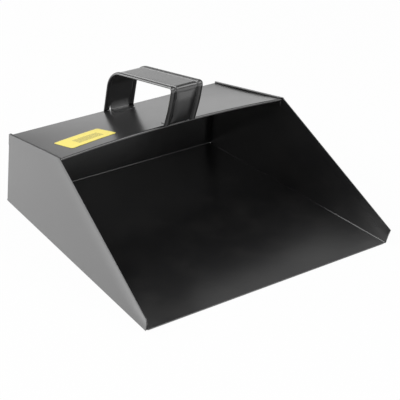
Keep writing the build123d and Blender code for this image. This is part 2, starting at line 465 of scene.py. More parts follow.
class NodeSheet:
    """Adds nodes to a node tree and joins them."""

    def __init__(self, tree: Tree) -> None:
        """Keeps the tree."""
        self.tree = tree

    def add(self, kind: str, inputs: dict[Any, Any] | None = None, **settings: Any) -> Node:
        """Adds one node.

        Args:
            kind: Type name of the node.
            inputs: Value or output socket for each input, by name or number.
            **settings: Properties of the node.

        Returns:
            The node.
        """
        node = self.tree.nodes.new(kind)
        for name, value in settings.items():
            setattr(node, name, value)
        self.feed(node, inputs or {})
        return node

    def feed(self, node: Node, inputs: dict[Any, Any]) -> None:
        """Joins an output socket to each input, or sets its value."""
        for key, value in inputs.items():
            if isinstance(value, Socket):
                self.tree.links.new(value, node.inputs[key])
            else:
                node.inputs[key].default_value = value

    def group(self, group: Tree, inputs: dict[str, Any]) -> Node:
        """Places a shader group with its own values."""
        return self.add("ShaderNodeGroup", inputs, node_tree=group)

    def math(self, operation: str, *values: Any) -> Socket:
        """A number worked out from others, as an output socket."""
        return self.add("ShaderNodeMath", dict(enumerate(values)), operation=operation).outputs[0]

    def vector(self, operation: str, *values: Any) -> Any:
        """The outputs of a sum on vectors."""
        inputs = dict(enumerate(values))
        return self.add("ShaderNodeVectorMath", inputs, operation=operation).outputs

    def ramp(self, value: Any, low: float, high: float, falls: bool = False) -> Socket:
        """A smooth step from 0 to 1 over a range, or down from 1 to 0, as an output socket."""
        inputs = {"Value": value, "From Min": low, "From Max": high}
        inputs |= {"To Min": float(falls), "To Max": float(not falls)}
        node = self.add("ShaderNodeMapRange", inputs, interpolation_type="SMOOTHSTEP")
        return node.outputs["Result"]

    def noise(self, place: Any, scale: float, detail: float, roughness: float = 0.5) -> Socket:
        """A noise over places, as an output socket."""
        inputs = {"Vector": place, "Scale": scale, "Detail": detail, "Roughness": roughness}
        return self.add("ShaderNodeTexNoise", inputs).outputs[0]

    def bump(self, height: Any) -> Socket:
        """A normal from a height in metres, as an output socket."""
        inputs = {"Height": height, "Distance": 1.0, "Strength": 1.0}
        return self.add("ShaderNodeBump", inputs).outputs[0]

    def blend(self, share: Any, first: Any, second: Any) -> Socket:
        """A colour between two others, as an output socket."""
        inputs = {0: share, 6: first, 7: second}  # the mix node has other sockets for other types
        return self.add("ShaderNodeMix", inputs, data_type="RGBA").outputs[2]


def node_group(
    name: str, inputs: dict[str, float], outputs: tuple[str, ...]
) -> tuple[Tree, NodeSheet, Node, Node]:
    """An empty shader group that is given a place and numbers, and gives numbers.

    Args:
        name: Name of the group.
        inputs: Default value of each number that it is given, by name.
        outputs: Names of the numbers that it gives.

    Returns:
        The group, a sheet to add nodes with, its input node and its output node.
    """
    group = bpy.data.node_groups.new(name, "ShaderNodeTree")
    sockets, number = group.interface, "NodeSocketFloat"
    sockets.new_socket("Place", in_out="INPUT", socket_type="NodeSocketVector")
    for key, value in inputs.items():
        sockets.new_socket(key, in_out="INPUT", socket_type=number).default_value = value
    for key in outputs:
        sockets.new_socket(key, in_out="OUTPUT", socket_type=number)
    sheet = NodeSheet(group)
    return group, sheet, sheet.add("NodeGroupInput"), sheet.add("NodeGroupOutput")


def new_material(name: str) -> tuple[Material, NodeSheet, Node]:
    """A material with nodes, with a sheet to add more with and its shader."""
    material = bpy.data.materials.new(name)
    material.use_nodes = True
    return material, NodeSheet(material.node_tree), material.node_tree.nodes["Principled BSDF"]


def film_relief_group(wave_scale: float = 9.0, ripple_scale: float = 700.0) -> Tree:
    """Relief of a coat on thin sheet: slow waves of the sheet under a fine ripple of the coat.

    Height = wave depth * slow noise + ripple depth * fine noise, in metres.

    Args:
        wave_scale: Scale of the slow noise.
        ripple_scale: Scale of the fine noise.

    Returns:
        The group, with the output Height.
    """
    depths = {"Wave Depth": 1e-4, "Ripple Depth": 1e-6}
    group, sheet, source, target = node_group("film_relief", depths, ("Height",))
    wave = sheet.noise(source.outputs["Place"], wave_scale, detail=1.0, roughness=0.4)
    ripple = sheet.noise(source.outputs["Place"], ripple_scale, detail=2.0)
    slow = sheet.math("MULTIPLY", wave, source.outputs["Wave Depth"])
    height = sheet.math("MULTIPLY_ADD", ripple, source.outputs["Ripple Depth"], slow)
    sheet.feed(target, {"Height": height})
    return group


def shelf_dust_group(
    patch_scale: float = 22.0, speck_scale: float = 1500.0, even_share: float = 0.3
) -> Tree:
    """Thin dust and handling haze: patches from a coarse noise, broken up by a fine one.

    Args:
        patch_scale: Scale of the coarse noise.
        speck_scale: Scale of the fine noise.
        even_share: Share of a patch's dust that isn't broken up.

    Returns:
        The group, with the outputs Dust, from 0 to 1, and Haze, about 0.
    """
    group, sheet, source, target = node_group("shelf_dust", {"Amount": 0.2}, ("Dust", "Haze"))
    coarse = sheet.noise(source.outputs["Place"], patch_scale, detail=5.0, roughness=0.6)
    fine = sheet.noise(source.outputs["Place"], speck_scale, detail=1.0)
    patches = sheet.ramp(coarse, low=0.4, high=0.75)
    specks = sheet.ramp(fine, low=0.5, high=0.8)
    broken = sheet.math("MULTIPLY_ADD", specks, 1.0 - even_share, even_share)
    dust = sheet.math("MULTIPLY", patches, broken)
    haze = sheet.math("SUBTRACT", coarse, 0.5)  # half is the noise's mean
    for key, value in (("Dust", dust), ("Haze", haze)):
        sheet.feed(target, {key: sheet.math("MULTIPLY", value, source.outputs["Amount"])})
    return group


@dataclass(frozen=True)
class Finish:
    """A coat whose gloss, relief and dust vary over the surface.

    Attributes:
        name: Name of the material.
        colour: Colour of the coat.
        gloss: Roughness of the coat.
        haze: How much the handling haze changes the gloss.
        dulling: How much the dust does.
        wave: Depth of the sheet's waves, in metres.
        ripple: Depth of the coat's ripple, in metres.
        dust: Share of dust where it is thickest.
        dust_colour: Colour of the dust.
    """

    name: str
    colour: Colour
    gloss: float
    haze: float
    dulling: float
    wave: float
    ripple: float
    dust: float
    dust_colour: Colour

    def ground(self, sheet: NodeSheet, flat: Socket) -> Any:
        """Colour under the dust, at places on the piece's own map."""
        return (*self.colour, 1.0)

    def top(self, normal: Socket) -> dict[str, Any]:
        """Inputs of the shader for a top film."""
        return {}

    def material(self, relief: Tree, dust: Tree) -> Material:
        """The coat, with dust on it.

        Args:
            relief: The group that gives the coat's height.
            dust: The group that gives dust and haze.

        Returns:
            The material.
        """
        material, sheet, shader = new_material(self.name)
        place = sheet.add("ShaderNodeTexCoord").outputs
        film = {"Place": place["Object"], "Wave Depth": self.wave, "Ripple Depth": self.ripple}
        normal = sheet.bump(sheet.group(relief, film).outputs["Height"])
        dirt = sheet.group(dust, {"Place": place["Object"], "Amount": self.dust}).outputs
        ground = self.ground(sheet, place["UV"])
        rough = sheet.math("MULTIPLY_ADD", dirt["Haze"], self.haze, self.gloss)
        sheet.feed(shader, {
            "Base Color": sheet.blend(dirt["Dust"], ground, (*self.dust_colour, 1.0)),
            "Roughness": sheet.math("MULTIPLY_ADD", dirt["Dust"], self.dulling, rough),
            "Normal": normal,
            **self.top(normal),
        })
        return material


@dataclass(frozen=True)
class PaintFinish(Finish):
    """Black stoved paint on steel sheet, under a clear top film.

    Attributes:
        index: Refractive index of the paint and of its top film.
        top_gloss: Roughness of the top film.
    """

    name: str = "black_paint"
    colour: Colour = (0.0105, 0.0105, 0.011)
    gloss: float = 0.3
    haze: float = 0.9
    dulling: float = 1.0
    wave: float = 9e-5
    ripple: float = 1.2e-6
    dust: float = 0.06
    dust_colour: Colour = (0.30, 0.28, 0.25)
    index: float = 1.7
    top_gloss: float = 0.21

    def top(self, normal: Socket) -> dict[str, Any]:
        """Inputs of the shader for the top film."""
        coat = {"Weight": 1.0, "IOR": self.index, "Roughness": self.top_gloss, "Normal": normal}
        return {"IOR": self.index, **{f"Coat {key}": value for key, value in coat.items()}}


@dataclass(frozen=True)
class FilmFinish(Finish):
    """Satin yellow film of the sticker, with a block of plain printed bars.

    Attributes:
        ink: Colour of the printed bars.
        bars: How many evenly spaced bars the sticker's whole length would hold.
        bar_share: Share of the spacing that a bar takes up.
        block: The part that carries them: from and to, along and across, as shares.
    """

    name: str = "label_film"
    colour: Colour = (0.98, 0.83, 0.18)
    gloss: float = 0.35
    haze: float = 1.0
    dulling: float = 0.0
    wave: float = 3e-5
    ripple: float = 1e-6
    dust: float = 0.08
    dust_colour: Colour = (0.5, 0.45, 0.35)
    ink: Colour = (0.10, 0.085, 0.04)
    bars: float = 29.0
    bar_share: float = 0.34
    block: tuple[float, float, float, float] = (0.26, 0.82, 0.24, 0.66)

    def ground(self, sheet: NodeSheet, flat: Socket) -> Socket:
        """The film with its bars, read from the sticker's own length and width.

        Args:
            sheet: The material's sheet.
            flat: Places as shares of the length and width.

        Returns:
            The colour.
        """
        ways = sheet.add("ShaderNodeSeparateXYZ", {0: flat}).outputs
        spacing = sheet.math("FRACT", sheet.math("MULTIPLY", ways["X"], self.bars))
        printed = sheet.math("LESS_THAN", spacing, self.bar_share)
        for way, low, high in (("X", *self.block[:2]), ("Y", *self.block[2:])):
            for side, limit in (("GREATER_THAN", low), ("LESS_THAN", high)):
                printed = sheet.math("MULTIPLY", printed, sheet.math(side, ways[way], limit))
        return sheet.blend(printed, (*self.colour, 1.0), (*self.ink, 1.0))


class SheetPiece(ABC):
    """A piece of sheet, given as its outer face and a thickness.

    Attributes:
        name: Name of the piece.
        node: The solid that it stands for.
        slot: The record's slot of its finish.
        thickness: Thickness of the sheet.
    """

    name: str
    node: str
    slot: str = "black_paint"
    thickness: float = PAN.sheet

    @abstractmethod
    def patches(self) -> list[Patch]:
        """The grids of the outer face."""

    def wall_share(self, points: Array) -> Array:
        """Share of the thickness that the sheet has at each point."""
        return np.ones(len(points))

    def build(self) -> Object:
        """Writes the mesh, gives it its thickness and hangs it on the frame.

        Returns:
            The piece.
        """
        points, faces = weld(self.patches())
        mesh = bpy.data.meshes.new(self.name)
        mesh.from_pydata((points * METRES).tolist(), [], faces)
        mesh.validate()
        mesh.shade_smooth()
        mesh.set_sharp_from_angle(angle=CREASE)
        piece = bpy.data.objects.new(self.name, mesh)
        bpy.context.scene.collection.objects.link(piece)
        wall = piece.modifiers.new("sheet", "SOLIDIFY")
        wall.thickness = self.thickness * METRES
        rounded = np.round(self.wall_share(points), decimals=3)
        shares, place = np.unique(rounded, return_inverse=True)
        if len(shares) > 1:
            group = piece.vertex_groups.new(name="wall_share")
            for number, share in enumerate(shares):
                members = np.flatnonzero(place.reshape(-1) == number).tolist()
                group.add(members, float(share), "REPLACE")
            wall.vertex_group = group.name
        wall.offset = -1.0
        wall.use_even_offset = True
        wall.use_quality_normals = True
        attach(piece, "root")
        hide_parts(self.node)
        log.info("%s: %d faces for %s", self.name, len(faces), self.node)
        return piece

    def dress(self, piece: Object, material: Material) -> None:
        """Gives the piece its finish."""
        piece.data.materials.append(material)


@dataclass
class FloorSheet(SheetPiece):
    """The tapered floor, with its lip folded under and its other edges turned up a little."""

    name: str = "painted_floor"
    node: str = "floor_sheet"
    lip: Hem = Hem(roll=0.3, fall=0.01, stack=PAN.hem_stack, leg=9.0)
    lip_slant: float = 1.5
    cove: float = 0.9
    cove_angle: float = math.radians(62.0)
    cove_leg: float = 0.3
    rows: int = 30
    columns: int = 41

    def patches(self) -> list[Patch]:
        """A flat tapered grid, the hem along its front and a cove along its sides and back.

        Returns:
            The grids.
        """
        top = PAN.layer + PAN.sheet
        room = PAN.sheet + PAN.bend_room + self.cove * math.sin(self.cove_angle)
        front = PAN.lip_y + self.lip.reach
        back = PAN.back_y - 2.0 * PAN.layer - room + PAN.sheet
        along = guarded(front, back, self.rows)
        half = PAN.half_width(along, 0.0) - room
        narrow = GUARD / half[0]
        across = np.linspace(-1.0, 1.0, self.columns)
        across = np.insert(across, [1, self.columns - 1], [narrow - 1.0, 1.0 - narrow])
        flat = joined(across * half[:, None], along[:, None], top)
        slants = ((0.0, self.lip_slant), (0.0, -self.lip_slant))
        lip = carry(flat[0], self.lip.profile(), -BACK, -UP, *slants)
        cove = bend(self.cove, self.cove_angle, self.cove_leg, steps=6)
        edges = ((flat[:, -1], RIGHT), (flat[:, 0], -RIGHT), (flat[-1], BACK))
        sides = [Patch(carry(edge, cove, out, UP).points, UP) for edge, out in edges]
        return [Patch(flat, UP), lip, *sides]


@dataclass
class BackPanel(SheetPiece):
    """The leaning back wall, with a flange turned forward under the floor."""

    name: str = "painted_back"
    node: str = "back_panel"
    rows: int = 16
    columns: int = 25

    def patches(self) -> list[Patch]:
        """A flat grid up the wall and a bend along its foot.

        Returns:
            The grids.
        """
        steep = math.hypot(1.0, PAN.back_slope)
        out = (PAN.back_slope * BACK - UP) / steep
        inward = (-BACK - PAN.back_slope * UP) / steep
        angle = bend_angle(out, inward, UP)
        foot = PAN.fold_radius * math.tan(angle / 2.0) / steep
        height = guarded(foot, PAN.hood_back - PAN.layer, self.rows)[:, None]
        half = PAN.half_width(PAN.back_face(height), height) - PAN.layer
        across = np.linspace(-1.0, 1.0, self.columns)
        flat = joined(across * half, PAN.back_face(height) - PAN.layer * steep, height)
        fold = bend(PAN.fold_radius, angle, PAN.flange - PAN.fold_radius)
        return [Patch(flat, -inward), carry(flat[0], fold, out, inward, (0.0, 1.0), (0.0, -1.0))]


@dataclass
class SidePanel(SheetPiece):
    """A side: flat, with a hem along the mouth, a sloped rim and flanges at its foot and back.

    Along the mouth the side flares out a little, most of all at the nose.
    """

    side: Side = Side.LEFT
    mouth: Hem = Hem(roll=4.5, fall=0.35, stack=PAN.hem_stack, leg=9.0)
    rim: SlopedRim = SlopedRim(
        width=2.7, reach=1.2, rise=0.75, edge_radius=0.2, crest_radius=0.5, skirt=0.15
    )
    rim_wall: float = 0.4
    rim_margin: float = 0.5
    face_margin: float = 0.05
    flare_nose: float = 2.6
    flare_hood: float = 0.5
    flare_width: float = 26.0
    rear_flange: float = 12.0
    flange_low: float = 2.6
    flange_high: float = 77.5
    thickness: float = 0.5
    rows: int = 27
    mouth_columns: int = 26
    rim_columns: int = 18
    name: str = field(init=False)
    node: str = field(init=False)

    def __post_init__(self) -> None:
        """Names the piece after its side."""
        self.name = f"painted_{self.side.value}_side"
        self.node = f"{self.side.value}_side_panel"

    @property
    def inward(self) -> Array:
        """Direction into the pan, square to the left side."""
        return unit(np.array([1.0, -PAN.taper, -PAN.lean]))

    @staticmethod
    def place(yz: Array) -> Array:
        """Points of the left side's outer face, from places along the pan and heights."""
        y, z = yz[..., 0], yz[..., 1]
        return joined(-PAN.half_width(y, z), y, z)

    @staticmethod
    def direction(along: Array) -> Array:
        """A direction in the left side's outer face, from its (y, z) parts."""
        return unit(np.array([PAN.taper * along[0] + PAN.lean * along[1], along[0], along[1]]))

    def patches(self) -> list[Patch]:
        """The flat five-cornered part as one grid, and a profile carried along each folded edge.

        A point of the flat part lies between the foot line and the line along the mouth and the
        rim, at an even share of the height.

        Returns:
            The grids, on the piece's own side.
        """
        inward = self.inward
        low_front = np.array([PAN.lip_y, 0.0])
        low_back = np.array([PAN.back_y, 0.0])
        high_back = np.array([PAN.back_face(PAN.rim_back), PAN.rim_back])
        high_front = np.array([PAN.hood_front_y, PAN.rim_front])
        nose = np.array([PAN.lip_y - PAN.nose_reach, PAN.nose_height])
        corners = [low_front, low_back, high_back, high_front, nose]
        foot, rear, rim, mouth, tip = map(Line.through, corners, np.roll(corners, -1, 0))

        down = -self.direction(np.array([0.0, 1.0]))
        backward = self.direction(np.array([rear.along[1], -rear.along[0]]))
        foot_angle = bend_angle(down, inward, UP)
        rear_angle = bend_angle(backward, inward, unit(BACK + PAN.back_slope * UP))
        foot_in = foot.inset(PAN.fold_radius * math.tan(foot_angle / 2.0))
        rear_in = rear.inset(PAN.fold_radius * math.tan(rear_angle / 2.0))
        rim_in = rim.inset(self.rim.reach)
        mouth_in = mouth.inset(self.mouth.reach)

        elbow = rim_in.meet(mouth_in)
        upper = [mouth_in.meet(tip), elbow, rim_in.meet(rear_in)]
        lower = [foot_in.meet(tip), np.array([elbow[0], foot_in.point[1]]), foot_in.meet(rear_in)]
        top, bottom = self._run(*upper), self._run(*lower)
        turn = self.mouth_columns + 1
        height = np.linalg.norm(upper[2] - lower[2])
        stops = np.array([self.flange_low, self.flange_high]) - lower[2][1]
        stops /= upper[2][1] - lower[2][1]
        rise = np.unique(np.concatenate([guarded(0.0, 1.0, self.rows, GUARD / height), stops]))
        low, high = np.searchsorted(rise, stops)
        flat = self.place(bottom[:, None] + (top - bottom)[:, None] * rise[:, None])

        edge_low, edge_high = foot_in.meet(rear), rim_in.meet(rear)
        edge = self.place(edge_low + (edge_high - edge_low) * rise[:, None])
        tails = [
            Patch(np.stack([flat[-1, rows], edge[rows]], 1), -inward)
            for rows in (slice(0, low + 1), slice(high, None))
        ]
        rear_fold = bend(PAN.fold_radius, rear_angle, self.rear_flange - PAN.fold_radius)
        foot_fold = bend(PAN.fold_radius, foot_angle, PAN.flange - PAN.fold_radius)
        rim_path = np.concatenate([flat[turn:, -1], edge[-1:]])
        tip_slant = PAN.nose_reach / PAN.nose_height
        strips = [
            carry(flat[:, 0], foot_fold, down, inward, (tip_slant, 1.0), (0.0, -1.0)),
            carry(flat[-1, low : high + 1], rear_fold, backward, inward, (0.0, 1.0), (0.0, -1.0)),
            self._edge(flat[: turn + 1, -1], self.mouth.profile(), nose, high_front),
            self._edge(rim_path, self.rim.profile(), high_front, high_back),
        ]
        plain = [Patch(flat, -inward), *tails, *strips]
        grids = [Patch(self._flared(grid.points, nose, high_front), grid.facing) for grid in plain]
        return grids if self.side is Side.LEFT else [grid.mirrored() for grid in grids]

    def _run(self, front: Array, elbow: Array, back: Array) -> Array:
        """Places along two straight runs that meet at an elbow."""
        mouth = straight(front, elbow, self.mouth_columns)
        return np.concatenate([mouth, straight(elbow, back, self.rim_columns)[1:]])

    def wall_share(self, points: Array) -> Array:
        """Share of the thickness: less in the rim, near its line and inside the outer face.

        Args:
            points: The side's outer face.

        Returns:
            One share per point.
        """
        y, z = points[:, 1], points[:, 2]
        ends = [PAN.hood_front_y, PAN.back_face(PAN.rim_back)]
        foot = np.interp(y, ends, [PAN.rim_front, PAN.rim_back]) - self.rim.reach
        inside = PAN.half_width(y, z) - np.abs(points[:, 0]) > self.face_margin
        return np.where(inside & (z > foot - self.rim_margin), self.rim_wall, 1.0)

    def _flared(self, points: Array, nose: Array, hood: Array) -> Array:
        """The left side's points, moved outwards near the mouth.

        The move falls with the square of the way from the mouth's line, changes evenly from the
        nose to the hood, and grows evenly with the height up to the nose's.

        Args:
            points: Points of the side before the flare.
            nose: The mouth line's front end, as (y, z).
            hood: Its end at the hood.

        Returns:
            The moved points.
        """
        along = unit(hood - nose)
        way = points[..., 1:] - nose
        share = np.clip(way @ along / np.linalg.norm(hood - nose), 0.0, 1.0)
        off = np.clip(way @ np.array([along[1], -along[0]]) / self.flare_width, 0.0, 1.0)
        move = self.flare_nose + (self.flare_hood - self.flare_nose) * share
        move = move * (1.0 - off) ** 2 * np.clip(points[..., 2] / nose[1], 0.0, 1.0)
        return points - move[..., None] * RIGHT

    def _edge(self, path: Array, profile: Array, start: Array, end: Array) -> Patch:
        """A turned edge along a path, with its ends on the lines to the edge's own corners.

        Args:
            path: Where the edge starts to turn.
            profile: Its outer face as (reach, depth).
            start: The edge's first corner, as (y, z).
            end: Its last corner.

        Returns:
            The grid.
        """
        along = unit(path[-1] - path[0])
        out = unit(np.cross(self.inward, along))
        out = out if out[2] > 0.0 else -out
        ways = (self.place(start) - path[0], self.place(end) - path[-1])
        slants = [(way @ along / (way @ out), 0.0) for way in ways]
        return carry(path, profile, out, self.inward, *slants)


@dataclass
class HoodSheet(SheetPiece):
    """The hood: arched at the mouth, with a rolled front edge, its sides and back turned down."""

    name: str = "painted_hood"
    node: str = "hood_sheet"
    rear_radius: float = 1.2
    rear_flange: float = 10.0
    side_radius: float = 1.1
    side_flange: float = 8.0
    side_turn: float = math.radians(86.0)
    side_fall: float = 0.05
    curl_turn: float = math.radians(285.0)
    rows: int = 30
    columns: int = 61
    curl_steps: int = 36

    def patches(self) -> list[Patch]:
        """One profile from the rear flange to the rolled edge for each place across, and the sides.

        The profile is a leg, an arc, a run whose ends lie on the front and back arches and which
        sags towards the sides, and the roll's circle; across the hood its points keep the same
        share of the local half width.

        Returns:
            The grids.
        """
        share = np.linspace(-1.0, 1.0, self.columns)
        front = PAN.hood_front + PAN.front_crown * (1.0 - share**2)
        back = PAN.hood_back + PAN.back_crown * (1.0 - share**2)
        corner = joined(PAN.hood_back_y, back)
        ahead = unit(joined(PAN.curl_y, front) - corner)
        down = unit(np.array([PAN.back_slope, -1.0]))
        arc = fillet(corner, down, ahead, self.rear_radius, steps=8)
        leg = arc[:, :1] + down * guarded(self.rear_flange, 0.0, count=4)[:-1, None]

        middle = joined(PAN.curl_y, front + PAN.curl_proud - PAN.curl_radius)
        to_middle = middle - arc[:, -1]
        reach = (to_middle * ahead).sum(-1)
        reach -= np.sqrt(PAN.curl_radius**2 - (to_middle**2).sum(-1) + reach**2)
        forward = guarded(0.0, 1.0, self.rows, GUARD / reach.mean())[1:]
        run = arc[:, -1:] + ahead[:, None] * reach[:, None, None] * forward[:, None]
        run[..., 1] -= PAN.edge_sag * share[:, None] ** 2 * np.sin(math.pi * forward)
        first = np.arctan2(*(run[:, -1] - middle).T[::-1])
        angle = first[:, None] + np.linspace(0.0, self.curl_turn, self.curl_steps + 1)[1:]
        curl = middle[:, None] + PAN.curl_radius * joined(np.cos(angle), np.sin(angle))
        y, z = np.moveaxis(np.concatenate([leg, arc, run, curl], 1), -1, 0)

        inner = PAN.half_width(y, z) - PAN.hem_stack - self.side_radius
        top = joined(share[:, None] * inner, y, z)
        start = leg.shape[1] + arc.shape[1] - 1
        over = slice(start, start + 1 + run.shape[1])
        grids = [Patch(top, BACK)]
        fold = bend(self.side_radius, self.side_turn, self.side_flange)
        for row, way in ((top[0], -RIGHT), (top[-1], RIGHT)):
            end = np.stack([row, row + way * (self.side_radius - PAN.seam)], 1)
            out, inward = unit(way - self.side_fall * UP), unit(-self.side_fall * way - UP)
            grids.append(carry(row[over], fold, out, inward))
            grids += [Patch(end[over.stop - 1 :], -BACK), Patch(end[: over.start + 1], BACK)]
        return grids


@dataclass
class HandleStrap(SheetPiece):
    """The strap handle: a web with a roll along each edge, bent into a bow, with two feet."""

    name: str = "painted_handle"
    node: str = "handle_strap"
    thickness: float = 0.9
    width: float = 40.9
    bead_width: float = 6.0
    bead_height: float = 3.2
    bead_rise: float = 0.15
    bead_turn: float = math.radians(236.0)
    notch: float = 1.8
    crease_depth: float = 0.8
    foot_length: float = 21.0
    foot_corner: float = 5.0
    foot_wall: float = 0.3
    foot_fade: float = 3.0
    front_height: float = 49.4
    rear_height: float = 54.2
    belly_height: float = 25.4
    front_lean: float = 21.9
    top_lean: float = 15.2
    rear_lean: float = 16.2
    front_lead: float = 4.0
    rear_inset: float = 2.35
    belly_bend: float = 160.0
    front_bend: float = 3.6
    front_sag: float = 2.4
    rear_bend: float = 34.4
    front_crown: float = 2.0
    front_foot_bend: float = 6.0
    rear_foot_bend: float = 1.0
    rear_curve: float = 22.0
    rear_curve_turn: float = math.radians(27.0)
    columns: int = 21
    belly_steps: int = 10
    front_steps: int = 14
    rear_steps: int = 24
    curve_steps: int = 12
    notch_steps: int = 16
    bead_steps: int = 48
    toe_steps: int = 8

    def __post_init__(self) -> None:
        """Works out the bow's corners on its inner face and its legs' directions, as (y, z)."""
        rise = PAN.back_crown - PAN.front_crown
        self.pitch = (PAN.hood_front - PAN.hood_back - rise) / (PAN.hood_back_y - PAN.curl_y)
        self.bead_side = (self.width - self.bead_width) / 2.0
        self.foot_half = self.bead_side - self.bead_width / 2.0 - self.notch
        self.front_base = self._foot(PAN.hood_front_y - self.front_lead)
        self.rear_base = self._foot(PAN.hood_back_y - self.rear_inset)
        self.front_belly = self.front_base + self._leg(self.belly_height, self.front_lean)
        above_belly = self.front_height - self.belly_height
        self.front_top = self.front_belly + self._leg(above_belly, self.top_lean)
        self.rear_top = self.rear_base + self._leg(self.rear_height, self.rear_lean)
        self.front_down = unit(self.front_base - self.front_belly)
        self.rear_down = unit(self.rear_base - self.rear_top)

    @staticmethod
    def _leg(height: float, lean: float) -> Array:
        """The step from a leg's base to its top."""
        return np.array([-height * math.tan(math.radians(lean)), height])

    def _seat(self, y: Any) -> Any:
        """Height at which the feet rest above the middle of the hood."""
        lift = (PAN.curl_proud + PAN.seam) * math.hypot(1.0, self.pitch)
        return PAN.hood_back + PAN.back_crown + self.pitch * (PAN.hood_back_y - y) + lift

    def _foot(self, y: float) -> Array:
        """A point of a foot's upper face, as (y, z)."""
        wall = self.foot_wall * self.thickness * math.hypot(1.0, self.pitch)
        return np.array([y, self._seat(y) + wall])

    def wall_share(self, points: Array) -> Array:
        """Share of the thickness: thin feet, whole above them, and a crease beside the rolls.

        Args:
            points: The strap's inner face.

        Returns:
            One share per point. Across the crease it falls and rises as 1 - cos.
        """
        x = np.abs(points[:, 0])
        across = np.clip((x - self.foot_half) / self.notch, 0.0, 1.0)
        crease = self.crease_depth / self.thickness * (1.0 - np.cos(2.0 * math.pi * across)) / 2.0
        above = np.clip((points[:, 2] - self._seat(points[:, 1])) / self.foot_fade, 0.0, 1.0)
        foot = self.foot_wall + (1.0 - self.foot_wall) * above
        return (1.0 - crease) * np.where(x < self.foot_half + CLOSE, foot, 1.0)

    def _sweep(self, x: Array, height: Array) -> Array:
        """The bow from the front foot's bend to the rear foot's, for a profile across the strap.

        Each profile point keeps its height outside the inner face's line. That line goes straight
        up the front leg, round a wide arc where the leg bows forward, straight on, round a
        parabola at the front bend, whose lower end hangs further down towards the middle of the
        strap, straight along the grip, round an arc, and straight down the rear leg. The front
        leg's web is crowned: it stands out by a parabola along the leg, times one less the fourth
        power across it.

        Args:
            x: Places across the handle.
            height: Heights outside the inner face.

        Returns:
            Points, path by profile by three.
        """
        down = unit(self.front_belly - self.front_top)
        ahead = unit(self.rear_top - self.front_top)
        short = self.front_bend * math.tan(math.acos(float(-down @ ahead)) / 2.0)
        hang = short + self.front_sag * np.clip(1.0 - (x / self.foot_half) ** 2, 0.0, None)
        front_foot = self._foot_line(Foot.FRONT)[0]
        rear_foot = self._foot_line(Foot.REAR)[0]
        belly = fillet(self.front_belly, self.front_down, -down, self.belly_bend, self.belly_steps)
        arc = fillet(self.rear_top, -ahead, self.rear_down, self.rear_bend, self.rear_steps)
        lower = self.front_top + down * hang[:, None]
        upper = self.front_top + ahead * short

        shin = straight(front_foot, belly[0], count=4)
        neck = straight(belly[-1], lower, count=3)[1:]
        tau = np.linspace(0.0, 1.0, self.front_steps + 1)[1:, None, None]
        round_front = (1 - tau) ** 2 * lower + 2 * tau * (1 - tau) * self.front_top + tau**2 * upper
        round_way = unit((1 - tau) * (self.front_top - lower) + tau * (upper - self.front_top))
        grip = straight(upper, arc[0], count=8)[1:]
        tail = straight(arc[-1], rear_foot, count=6)[1:]
        runs = [
            (shin[:, None], -self.front_down),
            (belly[1:, None], self._headings(-self.front_down, -down, self.belly_steps)),
            (neck, -down),
            (round_front, round_way),
            (grip[:, None], ahead),
            (arc[1:, None], self._headings(ahead, self.rear_down, self.rear_steps)),
            (tail[:, None], self.rear_down),
        ]
        line, heading = (
            np.concatenate([np.broadcast_to(run[part], (len(run[0]), len(x), 2)) for run in runs])
            for part in (0, 1)
        )
        outward = joined(-heading[..., 1], heading[..., 0])
        leg = slice(0, len(shin) + len(belly) - 1 + len(neck))
        share = (line[leg, :, 1] - front_foot[1]) / (lower[:, 1] - front_foot[1])
        lift = np.tile(height, (len(line), 1))
        across = np.clip(1.0 - (x / self.foot_half) ** 4, 0.0, None)
        lift[leg] += self.front_crown * 4.0 * share * (1.0 - share) * across
        yz = line + outward * lift[..., None]
        return joined(x, yz[..., 0], yz[..., 1])

    @staticmethod
    def _headings(first: Array, last: Array, steps: int) -> Array:
        """Directions after each of some even steps of a turn from one to another."""
        share = np.linspace(0.0, 1.0, steps + 1)[1:, None, None]
        return turned(first, last, math.acos(float(first @ last)), share)

    def _foot_line(self, foot: Foot) -> Array:
        """A foot's inner face from its leg to where it lies flat, as (y, z).

        The leg first turns towards the foot by a wide arc of radius R through an angle t, which
        takes it R sin t down and R (1 - cos t) ahead, and then by a tight arc. The wide arc starts
        so high that the line on from it meets the foot's plane in the tight one. The front leg has
        no wide arc.

        Args:
            foot: Which foot.

        Returns:
            The points.
        """
        front = foot is Foot.FRONT
        base = self.front_base if front else self.rear_base
        down = self.front_down if front else self.rear_down
        radius = self.front_foot_bend if front else self.rear_foot_bend
        curve = 0.0 if front else self.rear_curve
        turn = self.rear_curve_turn * (curve > 0.0)
        ahead = foot.value * unit(np.array([1.0, -self.pitch]))
        side = unit(ahead - (ahead @ down) * down)
        onward = math.cos(turn) * down + math.sin(turn) * side
        run = radius * math.tan(math.acos(float(onward @ ahead)) / 2.0)
        bow = curve * (math.sin(turn) * down + (1.0 - math.cos(turn)) * side)
        plumb = np.array([-ahead[1], ahead[0]])
        start = base - down * float((bow + run * onward) @ plumb / (down @ plumb))
        angle = np.linspace(0.0, turn, self.curve_steps + 1 if curve else 1)[:-1, None]
        wide = start + curve * (np.sin(angle) * down + (1.0 - np.cos(angle)) * side)
        tight = fillet(start + bow + run * onward, -onward, ahead, radius, steps=14)
        return np.concatenate([wide, tight])

    def _ends(self, points: Array, down: Array) -> Array:
        """Straight runs from points of a leg down to where the feet rest.

        Args:
            points: The sweep's end row.
            down: Direction of the leg, as (y, z).

        Returns:
            Points, along the leg by profile by three.
        """
        over = points[:, 2] - self._seat(points[:, 1])
        fall = over / -(down[1] + self.pitch * down[0])
        step = np.concatenate([[0.0], down])
        return points + fall[:, None] * np.linspace(0.0, 1.0, 5)[:, None, None] * step

